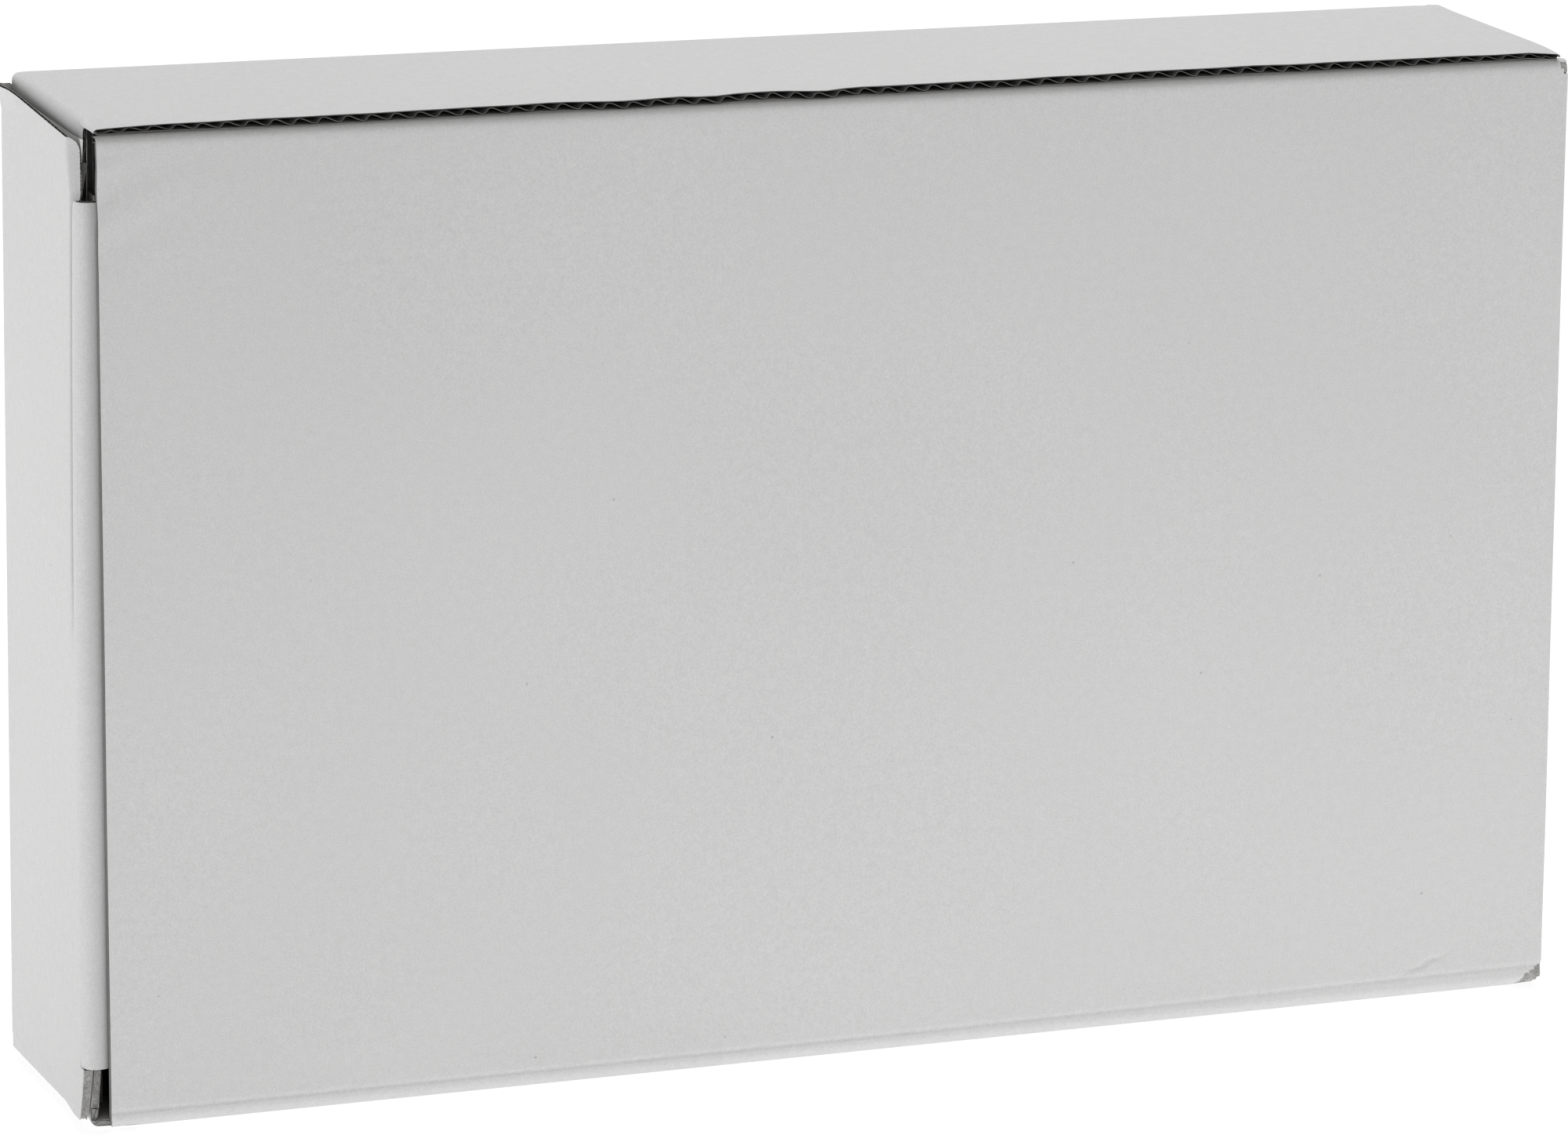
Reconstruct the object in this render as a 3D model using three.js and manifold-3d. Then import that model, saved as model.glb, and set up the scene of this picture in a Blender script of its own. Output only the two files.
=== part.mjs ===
// Plain white corrugated mailer box: one die-cut sheet folded into a tray with rolled-over side walls and
// a hinged lid that tucks in behind the front wall. It stands on its back wall, shut.
// Millimetres. X is the box's width, Y its depth from the lid (-Y) to the floor panel (+Y), Z is up.
// The origin is on the resting surface, under the middle of the box.

import * as THREE from "three";
import { mergeVertices } from "three/addons/utils/BufferGeometryUtils.js";
import Module from "manifold-3d";

const wasm = await Module();
wasm.setup();

// Driving dimensions of the closed box, over its outer faces.
const BOX_WIDTH = 413;
const BOX_DEPTH = 76;
const BOX_HEIGHT = 261;

// Corrugated board, and how tightly it folds.
const BOARD = 2.5;
const FOLD_OUTER = 3.5;
const FOLD_INNER = FOLD_OUTER - BOARD;
const CLEARANCE = 0.3;
const JOIN_GAP = 0.1;
const FOLD_STEPS = 6;

// Double side walls: outer wall, a cavity that holds the corner flaps, inner wall.
const CAVITY = BOARD + 2 * CLEARANCE;
const SIDE_THICKNESS = 2 * BOARD + CAVITY;
const SIDE_BOTTOM = 2.5;
const SIDE_TOP = BOX_HEIGHT - 2.8;
const STRIP_BOTTOM = 15.8;
const STRIP_TOP = BOX_HEIGHT - 19;
const CORNER_FLAP_LENGTH = 65;
const CORNER_FLAP_TAPER = 6;

// Locking tabs on the inner side walls, and their slots in the floor panel.
const TAB_LENGTH = 30;
const TAB_SPACING = 120;
const TAB_CORNER = 0.8;

// Lid and tuck flap. The lid lies a little to the right, as it was folded.
const LID_WIDTH = 407.6;
const LID_SHIFT = 2.6;
const TUCK_LENGTH = 46;
const TUCK_WIDTH = 392;
const TUCK_TAPER = 5;
const TUCK_CORNER = 12;
const TUCK_SLANT = THREE.MathUtils.degToRad(6.5);
const FRONT_EDGE_OVERHANG = 2.6;
const FRONT_EDGE_DEPTH = 3.6;

// Planes that the panels lie between.
const HALF_WIDTH = BOX_WIDTH / 2;
const LID_FACE = -BOX_DEPTH / 2;
const FLOOR_FACE = BOX_DEPTH / 2;
const STRIP_FACE = LID_FACE + BOARD + CLEARANCE;
const FLOOR_INNER = FLOOR_FACE - BOARD;
const TOP_INNER = BOX_HEIGHT - BOARD;
const FLAP_OUTER = HALF_WIDTH - BOARD - CLEARANCE;
const INNER_WALL_OUTER = HALF_WIDTH - BOARD - CAVITY;
const INNER_WALL_INNER = HALF_WIDTH - SIDE_THICKNESS;

// Centres of the folds.
const FLOOR_FOLD = FLOOR_FACE - FOLD_OUTER;
const LID_FOLD = LID_FACE + FOLD_OUTER;
const STRIP_FOLD = STRIP_FACE + FOLD_OUTER;
const BOTTOM_FOLD = FOLD_OUTER;
const TOP_FOLD = BOX_HEIGHT - FOLD_OUTER;
const SIDE_FOLD = HALF_WIDTH - FOLD_OUTER;
const FLAP_FOLD = FLAP_OUTER - FOLD_OUTER;
const TUCK_FOLD = TOP_INNER - CLEARANCE - FOLD_OUTER;

const MIDDLE = BOX_HEIGHT / 2;

const whiteBoard = { color: 0xdcdcda, roughness: 0.92, metalness: 0 };
const innerBoard = { color: 0xc9c8c4, roughness: 0.94, metalness: 0 };
const creaseBoard = { color: 0xd2d2d0, roughness: 0.95, metalness: 0 };

const box = new THREE.Group();
box.name = "mailer_box";

// Local axes of an extrusion: the outline's two axes, then the direction that it is extruded along.
const ALONG = {
  x: new THREE.Matrix4().makeBasis(
    new THREE.Vector3(0, 1, 0), new THREE.Vector3(0, 0, 1), new THREE.Vector3(1, 0, 0)),
  y: new THREE.Matrix4().makeBasis(
    new THREE.Vector3(0, 0, 1), new THREE.Vector3(1, 0, 0), new THREE.Vector3(0, 1, 0)),
  z: new THREE.Matrix4(),
};

function addMesh(name, geometry, finish) {
  const mesh = new THREE.Mesh(geometry, new THREE.MeshStandardMaterial(finish));
  mesh.name = name;
  box.add(mesh);
  return mesh;
}

// An outline in the plane square to an axis, extruded along that axis between two places on it.
// Outlines along x are in (y, z), along y in (z, x) and along z in (x, y).
function extrude(outline, axis, from, to) {
  const geometry = new THREE.ExtrudeGeometry(outline, {
    depth: to - from,
    bevelEnabled: false,
    curveSegments: FOLD_STEPS,
  });
  geometry.translate(0, 0, from);
  return geometry.applyMatrix4(ALONG[axis]);
}

// A flat panel between two corners.
function addPanel(name, low, high) {
  return addMesh(name, boxBetween(low, high), whiteBoard);
}

// A ring sector as thick as the board: the section of a fold.
function foldSection(u, v, start, end) {
  const section = new THREE.Shape();
  section.absarc(u, v, FOLD_OUTER, start, end, false);
  section.absarc(u, v, FOLD_INNER, end, start, true);
  return section;
}

// A fold along an axis, its sector turned a little in from both ends to leave room for the panels.
function addFold(name, axis, [u, v], startDegrees, endDegrees, [from, to]) {
  const gap = JOIN_GAP / FOLD_OUTER;
  const start = THREE.MathUtils.degToRad(startDegrees) + gap;
  const end = THREE.MathUtils.degToRad(endDegrees) - gap;
  return addMesh(name, extrude(foldSection(u, v, start, end), axis, from, to), creaseBoard);
}

function polygon(points) {
  return new THREE.Shape(points.map(([u, v]) => new THREE.Vector2(u, v)));
}

function solidOf(geometry) {
  const bare = geometry.clone();
  bare.deleteAttribute("normal");
  bare.deleteAttribute("uv");
  const merged = mergeVertices(bare);
  return new wasm.Manifold(new wasm.Mesh({
    numProp: 3,
    vertProperties: new Float32Array(merged.attributes.position.array),
    triVerts: new Uint32Array(merged.index.array),
  }));
}

function geometryOf(solid) {
  const mesh = solid.getMesh();
  const geometry = new THREE.BufferGeometry();
  geometry.setAttribute("position", new THREE.BufferAttribute(mesh.vertProperties, mesh.numProp));
  geometry.setIndex(new THREE.BufferAttribute(mesh.triVerts, 1));
  return geometry;
}

function boxBetween(low, high) {
  const size = high.map((value, i) => value - low[i]);
  const geometry = new THREE.BoxGeometry(...size);
  return geometry.translate(...low.map((value, i) => value + size[i] / 2));
}

// The floor panel, cut through with a slot for each locking tab.
function makeFloor() {
  let floor = solidOf(boxBetween(
    [-SIDE_FOLD, FLOOR_INNER, BOTTOM_FOLD], [SIDE_FOLD, FLOOR_FACE, TOP_FOLD]));
  for (const side of [-1, 1]) {
    for (const row of [-1, 1]) {
      const middle = MIDDLE + (row * TAB_SPACING) / 2;
      const halfLength = TAB_LENGTH / 2 + CLEARANCE;
      const ends = [side * (INNER_WALL_INNER - CLEARANCE), side * (INNER_WALL_OUTER + CLEARANCE)];
      floor = floor.subtract(solidOf(boxBetween(
        [Math.min(...ends), FLOOR_INNER - BOARD, middle - halfLength],
        [Math.max(...ends), FLOOR_FACE + BOARD, middle + halfLength])));
    }
  }
  addMesh("floor_panel", geometryOf(floor), whiteBoard);
}

// Front and back walls. The front wall's free edge is a little wider, where no flap folds down from it.
function makeEndWalls() {
  const width = FLAP_FOLD - JOIN_GAP;
  const freeWidth = FLAP_FOLD + FRONT_EDGE_OVERHANG;
  const shoulder = LID_FACE + FRONT_EDGE_DEPTH;
  const outline = polygon([
    [-freeWidth, LID_FACE],
    [freeWidth, LID_FACE],
    [freeWidth, shoulder],
    [width, shoulder],
    [width, FLOOR_FOLD - JOIN_GAP],
    [-width, FLOOR_FOLD - JOIN_GAP],
    [-width, shoulder],
    [-freeWidth, shoulder],
  ]);
  addMesh("front_wall", extrude(outline, "z", TOP_INNER, BOX_HEIGHT), whiteBoard);
  addPanel("back_wall",
    [-width, LID_FOLD + JOIN_GAP, 0],
    [width, FLOOR_FOLD - JOIN_GAP, BOARD]);
}

// Corner flaps reach from the front and back walls into the cavities of the side walls.
function makeCornerFlaps() {
  const nearEdge = STRIP_FOLD;
  const farEdge = FLOOR_INNER - 2 * CLEARANCE;
  for (const [sideName, side] of [["left", -1], ["right", 1]]) {
    for (const [endName, root, way] of [["front", TOP_FOLD, -1], ["back", BOTTOM_FOLD, 1]]) {
      const near = root + way * JOIN_GAP;
      const tip = root + way * CORNER_FLAP_LENGTH;
      const outline = polygon([
        [nearEdge, near],
        [farEdge, near],
        [farEdge - CORNER_FLAP_TAPER, tip],
        [nearEdge + CORNER_FLAP_TAPER, tip],
      ]);
      const faces = [side * (FLAP_OUTER - BOARD), side * FLAP_OUTER].sort((a, b) => a - b);
      addMesh(`${endName}_${sideName}_corner_flap`, extrude(outline, "x", ...faces), innerBoard);
      // The fold turns a quarter round its centre, either side of the box's corner.
      const corner = THREE.MathUtils.radToDeg(Math.atan2(side, -way));
      addFold(`${endName}_${sideName}_flap_crease`, "y", [root, side * FLAP_FOLD],
        corner - 45, corner + 45, [LID_FOLD + 2 * CLEARANCE, farEdge]);
    }
  }
}

// A side wall's rolled-over edge: two folds with a narrow strip between them, as one U-shaped piece.
function rolloverSection(side) {
  const outer = side * SIDE_FOLD;
  const inner = side * (INNER_WALL_INNER + FOLD_OUTER);
  const [right, left] = side > 0 ? [outer, inner] : [inner, outer];
  const section = new THREE.Shape();
  section.absarc(right, STRIP_FOLD, FOLD_OUTER, 0, -Math.PI / 2, true);
  section.absarc(left, STRIP_FOLD, FOLD_OUTER, -Math.PI / 2, -Math.PI, true);
  section.absarc(left, STRIP_FOLD, FOLD_INNER, -Math.PI, -Math.PI / 2, false);
  section.absarc(right, STRIP_FOLD, FOLD_INNER, -Math.PI / 2, 0, false);
  return section;
}

// An inner side wall's outline in (y, z): its locking tabs stand out at the floor.
function innerWallOutline(bottom, top) {
  const foldEdge = STRIP_FOLD + JOIN_GAP;
  const wallEdge = FLOOR_INNER - CLEARANCE;
  const tabEdge = FLOOR_FACE - CLEARANCE;
  const points = [[foldEdge, bottom], [wallEdge, bottom]];
  for (const row of [-1, 1]) {
    const middle = MIDDLE + (row * TAB_SPACING) / 2;
    points.push(
      [wallEdge, middle - TAB_LENGTH / 2],
      [tabEdge - TAB_CORNER, middle - TAB_LENGTH / 2],
      [tabEdge, middle - TAB_LENGTH / 2 + TAB_CORNER],
      [tabEdge, middle + TAB_LENGTH / 2 - TAB_CORNER],
      [tabEdge - TAB_CORNER, middle + TAB_LENGTH / 2],
      [wallEdge, middle + TAB_LENGTH / 2]);
  }
  points.push([wallEdge, top], [foldEdge, top]);
  return polygon(points);
}

function makeSideWalls() {
  for (const [sideName, side] of [["left", -1], ["right", 1]]) {
    const outerFaces = [side * (HALF_WIDTH - BOARD), side * HALF_WIDTH].sort((a, b) => a - b);
    addPanel(`${sideName}_outer_wall`,
      [outerFaces[0], STRIP_FOLD + JOIN_GAP, SIDE_BOTTOM],
      [outerFaces[1], FLOOR_FOLD - JOIN_GAP, SIDE_TOP]);
    addMesh(`${sideName}_rollover_strip`,
      extrude(rolloverSection(side), "z", STRIP_BOTTOM, STRIP_TOP), whiteBoard);
    const innerFaces = [side * INNER_WALL_INNER, side * INNER_WALL_OUTER].sort((a, b) => a - b);
    const outline = innerWallOutline(BOARD + CLEARANCE, TOP_INNER - CLEARANCE);
    addMesh(`${sideName}_inner_wall`, extrude(outline, "x", ...innerFaces), innerBoard);
  }
}

// Folds between the floor panel and the four walls.
function makeFloorCreases() {
  const endRange = [-FLAP_FOLD, FLAP_FOLD];
  const sideRange = [SIDE_BOTTOM + FOLD_OUTER, SIDE_TOP - FOLD_OUTER];
  addFold("floor_front_crease", "x", [FLOOR_FOLD, TOP_FOLD], 0, 90, endRange);
  addFold("floor_back_crease", "x", [FLOOR_FOLD, BOTTOM_FOLD], 270, 360, endRange);
  addFold("floor_right_crease", "z", [SIDE_FOLD, FLOOR_FOLD], 0, 90, sideRange);
  addFold("floor_left_crease", "z", [-SIDE_FOLD, FLOOR_FOLD], 90, 180, sideRange);
}

// The lid, its hinge crease on the back wall, and the tuck flap that slants in behind the front wall.
function makeLid() {
  const lidLeft = LID_SHIFT - LID_WIDTH / 2;
  const lidRight = LID_SHIFT + LID_WIDTH / 2;
  addFold("lid_hinge_crease", "x", [LID_FOLD, BOTTOM_FOLD], 180, 270, [lidLeft, lidRight]);
  addPanel("lid_panel",
    [lidLeft, LID_FACE, BOTTOM_FOLD + CLEARANCE],
    [lidRight, LID_FACE + BOARD, TUCK_FOLD - CLEARANCE]);
  const slantDegrees = THREE.MathUtils.radToDeg(TUCK_SLANT);
  addFold("tuck_crease", "x", [LID_FOLD, TUCK_FOLD], 90 - slantDegrees, 180, [lidLeft, lidRight]);

  // The flap's outline in (x, y) measured from its fold, then lowered to slant about the fold's centre.
  const rootHalf = TUCK_WIDTH / 2;
  const tipHalf = rootHalf - TUCK_TAPER;
  const outline = new THREE.Shape();
  outline.moveTo(-rootHalf, CLEARANCE);
  outline.lineTo(rootHalf, CLEARANCE);
  outline.lineTo(tipHalf, TUCK_LENGTH - TUCK_CORNER);
  outline.absarc(tipHalf - TUCK_CORNER, TUCK_LENGTH - TUCK_CORNER, TUCK_CORNER, 0, Math.PI / 2, false);
  outline.absarc(TUCK_CORNER - tipHalf, TUCK_LENGTH - TUCK_CORNER, TUCK_CORNER, Math.PI / 2, Math.PI, false);
  const flap = addMesh("tuck_flap", extrude(outline, "z", FOLD_INNER, FOLD_OUTER), whiteBoard);
  flap.position.set(0, LID_FOLD, TUCK_FOLD);
  flap.rotation.x = -TUCK_SLANT;
}

makeFloor();
makeEndWalls();
makeCornerFlaps();
makeSideWalls();
makeFloorCreases();
makeLid();

export default box;
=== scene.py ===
"""Plain white corrugated mailer box, built as real board: two liners round a fluted sheet.

Lengths are in millimetres until a mesh is made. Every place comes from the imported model's nodes.
X is the box's width, Y its depth from the lid (-Y) to the floor panel (+Y), and Z is up.
"""

import math

import bpy
import numpy as np
from mathutils import Matrix, Vector


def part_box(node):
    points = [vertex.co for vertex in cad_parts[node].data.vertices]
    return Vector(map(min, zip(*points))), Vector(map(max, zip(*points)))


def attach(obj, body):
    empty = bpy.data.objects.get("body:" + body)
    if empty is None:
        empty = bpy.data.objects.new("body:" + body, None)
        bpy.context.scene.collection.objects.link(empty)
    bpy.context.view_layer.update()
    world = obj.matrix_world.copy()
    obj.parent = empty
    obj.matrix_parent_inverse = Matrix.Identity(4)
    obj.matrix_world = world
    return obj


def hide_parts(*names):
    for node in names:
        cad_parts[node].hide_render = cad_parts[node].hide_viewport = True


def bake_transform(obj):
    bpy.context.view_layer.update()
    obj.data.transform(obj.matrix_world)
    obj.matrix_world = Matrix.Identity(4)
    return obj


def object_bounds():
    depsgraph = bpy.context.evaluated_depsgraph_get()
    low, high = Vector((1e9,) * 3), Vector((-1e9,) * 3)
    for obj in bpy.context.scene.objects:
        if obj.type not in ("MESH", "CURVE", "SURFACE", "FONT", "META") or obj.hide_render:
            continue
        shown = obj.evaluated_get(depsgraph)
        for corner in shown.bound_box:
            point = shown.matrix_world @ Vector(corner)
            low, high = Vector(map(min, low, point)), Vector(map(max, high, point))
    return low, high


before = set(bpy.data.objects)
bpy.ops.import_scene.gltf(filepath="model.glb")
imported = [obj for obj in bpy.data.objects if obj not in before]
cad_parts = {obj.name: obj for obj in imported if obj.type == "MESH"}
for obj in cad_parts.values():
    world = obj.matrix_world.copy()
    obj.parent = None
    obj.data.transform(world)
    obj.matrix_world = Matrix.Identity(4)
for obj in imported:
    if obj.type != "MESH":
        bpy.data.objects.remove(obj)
cad_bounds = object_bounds()

# ---------------------------------------------------------------- measures

MM = 0.001

# Board: the thickness of a liner and of the fluted medium, and the medium's wave.
LINER = 0.24
MEDIUM = 0.11
FLUTE_PITCH = 6.35
FLUTE_STEPS = 12
FLUTE_LEAN = 0.5

# The flat run at each end of a fold. Panels stop short of the fold by as much, to meet it.
MARGIN = 0.3

# The folds from the front and back walls to the corner flaps, and where the flaps' edges start.
ROLL_FOLD = 4.8
RIGHT_ROLL_FOLD = 2.6
ROLL_FOLD_AT_ENDS = 1.8
FLAP_SET_BACK = 3.1
FLAP_TAPER = 6.0

# The side wall's lip above its rolled edge, and how far the wall runs on below that edge.
LIP_CREASE = 6.6
LIP_TURN = math.radians(50)
LIP_WIDTH = 3.9
LIP_CORNER = 3.4
STRAIGHT_END = 2.1

# How far back the inner wall starts where the rolled edge doesn't cover it.
INNER_SET_BACK = 9

# Locking tabs of the inner side walls, above and below the middle, and the room in their slots.
TAB_FROM_MIDDLE = 60
TAB_HALF = 15
SLOT_GAP = 0.3

# The lid's slant, the cut round the ends of its hinge fold, and the tuck flap.
LID_SKEW = 0.9
HINGE_CUT = 4.2
TUCK_FOLD_RADIUS = 2.2
TUCK_LENGTH = 46.0
TUCK_CORNER = 12.0
TUCK_TAPER = 5.0

# How far behind a cut edge the crushed board starts and ends, and the spacing of its points.
CRUSH_FROM, CRUSH_TO = 0.15, 0.9
CRUSH_STEP = 0.8

# How the whole box has twisted: how far its upper corners have moved up or down.
FRONT_RIGHT_SINK = 0.65
BACK_LEFT_RISE = 1.9
BACK_RISE_LOST_AT_RIGHT = 1.6

SHARP_ANGLE = math.radians(38)
SIDES = (("left", -1), ("right", 1))

# A shell's cut edges, and a piece's materials.
LOW_S, HIGH_S, LOW_T, HIGH_T = 2, 3, 4, 5
CUT_EDGES = (LOW_S, HIGH_S, LOW_T, HIGH_T)
OUTER, INNER, FLUTED, CRUSHED = range(4)


def node_box(node):
    """Lowest and highest corner of a CAD node, in millimetres."""
    low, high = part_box(node)
    return np.array(low) / MM, np.array(high) / MM


BOX_LOW, BOX_HIGH = (np.array(corner) / MM for corner in cad_bounds)
LID_LOW, LID_HIGH = node_box("lid_panel")
FLOOR_LOW, FLOOR_HIGH = node_box("floor_panel")
SIDE_LOW, SIDE_HIGH = node_box("right_outer_wall")
STRIP_LOW, STRIP_HIGH = node_box("right_rollover_strip")
INNER_LOW, INNER_HIGH = node_box("right_inner_wall")
FLAP_LOW, FLAP_HIGH = node_box("front_right_corner_flap")
_, BACK_FLAP_HIGH = node_box("back_right_corner_flap")
_, TUCK_FOLD_HIGH = node_box("tuck_crease")
TUCK_LOW, TUCK_HIGH = node_box("tuck_flap")

HALF_WIDTH = BOX_HIGH[0]
HEIGHT = BOX_HIGH[2]
LID_FACE = BOX_LOW[1]
FLOOR_FACE = BOX_HIGH[1]
BOARD = LID_HIGH[1] - LID_LOW[1]
FOLD = HALF_WIDTH - FLOOR_HIGH[0]
LID_FOLD = LID_FACE + FOLD
FLOOR_FOLD = FLOOR_FACE - FOLD
TOP_FOLD = HEIGHT - FOLD
SIDE_FOLD = HALF_WIDTH - FOLD
STRIP_FOLD = STRIP_LOW[1] + FOLD
STRIP_INNER_FOLD = STRIP_LOW[0] + FOLD
FLAP_OUTER = FLAP_HIGH[0]
TUCK_FOLD = TUCK_FOLD_HIGH[2] - FOLD

X, Y, Z = np.eye(3)


# ---------------------------------------------------------------- surfaces

def smooth(value):
    """0 up to 0, 1 from 1 on, and an even slope between."""
    value = np.clip(value, 0, 1)
    return value * value * (3 - 2 * value)


def ripple(u, v, seed, wave=40.0):
    """Uneven, repeatable waves between about -1 and 1: five sines, each shorter and weaker."""
    total = 0
    for k in range(5):
        angle = seed * 1.7 + k * 2.4
        rate = (1 + 0.63 * k) * 2 * math.pi / wave
        along = u * math.cos(angle) + v * math.sin(angle)
        total = total + np.sin(rate * along + seed + 1.9 * k) / (1 + 0.5 * k)
    return total / 3


def flat(corner, along_s, along_t):
    """A flat face: s and t are distances along two directions from a corner."""
    corner, along_s, along_t = (np.array(v, float) for v in (corner, along_s, along_t))
    return lambda s, t: corner + s[..., None] * along_s + t[..., None] * along_t


def bend(centre, first, last, along, radius=FOLD):
    """A fold's outer face, and the length of its turn.

    s is the distance round it, flat before 0 and after the turn's end. t runs along it.
    """
    centre, first, last, along = (np.array(v, float) for v in (centre, first, last, along))
    turn = math.acos(first @ last)
    side = last - (first @ last) * first
    side /= np.linalg.norm(side)

    def surface(s, t):
        angle = np.clip(s / radius, 0, turn)
        straight = (s - angle * radius)[..., None]
        cos, sin = np.cos(angle)[..., None], np.sin(angle)[..., None]
        radial = cos * first + sin * side
        tangent = cos * side - sin * first
        return centre + radius * radial + straight * tangent + t[..., None] * along

    return surface, radius * turn


def tight_bend(centre, first, last, along, radius):
    """The same fold between the same flat faces, turned round a smaller radius."""
    first, last = (np.array(v, float) for v in (first, last))
    turn = math.acos(first @ last)
    length = FOLD * turn
    straight = (FOLD - radius) * math.tan(turn / 2)
    offset = (FOLD - radius) * (first + last) / (1 + first @ last)
    surface, arc = bend(np.array(centre) + offset, first, last, along, radius)

    def tight(s, t):
        inside = np.clip(s, 0, length)
        return surface(inside * (2 * straight + arc) / length + s - inside - straight, t)

    return tight, length


def warped(surface, move):
    """The surface, with each point moved by move(point, s, t)."""
    def moved(s, t):
        point = surface(s, t)
        return point + move(point, s, t)
    return moved


def inward_normals(surface, s, t, towards):
    step = 0.02
    across = surface(s + step, t) - surface(s - step, t)
    along = surface(s, t + step) - surface(s, t - step)
    normal = np.cross(across, along)
    normal /= np.linalg.norm(normal, axis=-1, keepdims=True)
    middle = tuple(n // 2 for n in s.shape)
    return normal if normal[middle] @ np.array(towards) > 0 else -normal


# ---------------------------------------------------------------- meshes

def shell(top, bottom, keep):
    """A closed shell between two grids: its points, its faces, and the side of each face.

    keep says which of the grid's cells are there. Sides 0 and 1 are the shell's two faces, and the
    others are its cut edges, LOW_S to HIGH_T.
    """
    count = top.shape[0] * top.shape[1]
    index = np.arange(count).reshape(top.shape[:2])
    a, b, c, d = index[:-1, :-1], index[1:, :-1], index[1:, 1:], index[:-1, 1:]
    near = np.pad(keep, 1)
    faces = [
        (keep, a, b, c, d),
        (keep, a + count, d + count, c + count, b + count),
        (keep & ~near[:-2, 1:-1], a, d, d + count, a + count),
        (keep & ~near[2:, 1:-1], c, b, b + count, c + count),
        (keep & ~near[1:-1, :-2], b, a, a + count, b + count),
        (keep & ~near[1:-1, 2:], d, c, c + count, d + count),
    ]
    quads = np.concatenate([np.stack([grid[mask] for grid in grids], -1) for mask, *grids in faces])
    sides = np.concatenate([np.full(mask.sum(), number) for number, (mask, *_) in enumerate(faces)])
    points = np.concatenate([top.reshape(-1, 3), bottom.reshape(-1, 3)])
    used, quads = np.unique(quads, return_inverse=True)
    points, quads = points[used], quads.reshape(-1, 4)
    p, q, r = points[quads[:, 0]], points[quads[:, 1]], points[quads[:, 2]]
    u = points[quads[:, 3]]
    volume = (np.cross(p, q) * r).sum() + (np.cross(p, r) * u).sum()
    return points, quads if volume > 0 else quads[:, ::-1], sides


def settle(points):
    """The twisted box: its front right corner sinks and its back left corner stands up."""
    x, y, z = points.T
    right, back = 0.5 + x / HALF_WIDTH / 2, 0.5 + y / FLOOR_FACE / 2
    front_sink = -FRONT_RIGHT_SINK * right
    back_rise = BACK_LEFT_RISE - BACK_RISE_LOST_AT_RIGHT * right
    rise = (front_sink * (1 - back) + back_rise * back) * np.clip(z / HEIGHT, 0, 1)
    return points + rise[:, None] * Z


def make_object(name, layers, materials, dark_sides):
    """One object from several shells, each (points, quads, sides, number of its material)."""
    points, quads, finish, start = [], [], [], 0
    for shell_points, shell_quads, sides, number in layers:
        points.append(shell_points)
        quads.append(shell_quads + start)
        finish.append(np.where(np.isin(sides, dark_sides), max(number, FLUTED), number))
        start += len(shell_points)
    points, quads, finish = (np.concatenate(part) for part in (points, quads, finish))
    mesh = bpy.data.meshes.new(name)
    mesh.vertices.add(len(points))
    mesh.vertices.foreach_set("co", (settle(points) * MM).astype(np.float32).ravel())
    mesh.loops.add(quads.size)
    mesh.loops.foreach_set("vertex_index", quads.astype(np.int32).ravel())
    mesh.polygons.add(len(quads))
    mesh.polygons.foreach_set("loop_start", np.arange(0, quads.size, 4, dtype=np.int32))
    mesh.polygons.foreach_set("material_index", finish.astype(np.int32))
    mesh.update(calc_edges=True)
    mesh.validate()
    mesh.polygons.foreach_set("use_smooth", np.ones(len(mesh.polygons), bool))
    mesh.set_sharp_from_angle(angle=SHARP_ANGLE)
    for material in materials:
        mesh.materials.append(material)
    made = bpy.data.objects.new(name, mesh)
    bpy.context.scene.collection.objects.link(made)
    return made


def steps(low, high, spacing, *breaks):
    """Places from low to high about a spacing apart, with the breaks among them."""
    ends = [low, *sorted(x for x in breaks if low < x < high), high]
    parts = []
    for first, last in zip(ends[:-1], ends[1:]):
        number = max(1, round((last - first) / spacing))
        parts.append(np.linspace(first, last, number + 1)[:-1])
    return np.concatenate([*parts, [high]])


def edge_steps(low, high, spacing, *breaks):
    """Places closer together in the last 6 mm at both ends."""
    from_end = [6.0 * x for x in (0.04, 0.1, 0.2, 0.35, 0.6, 1)]
    near, far = [low + x for x in from_end], [high - x for x in from_end]
    return steps(low, high, spacing, *near, *far, *breaks)


def full(s, t):
    return np.ones(s.shape, bool)


def even(s, t):
    return np.ones(s.shape)


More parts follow.
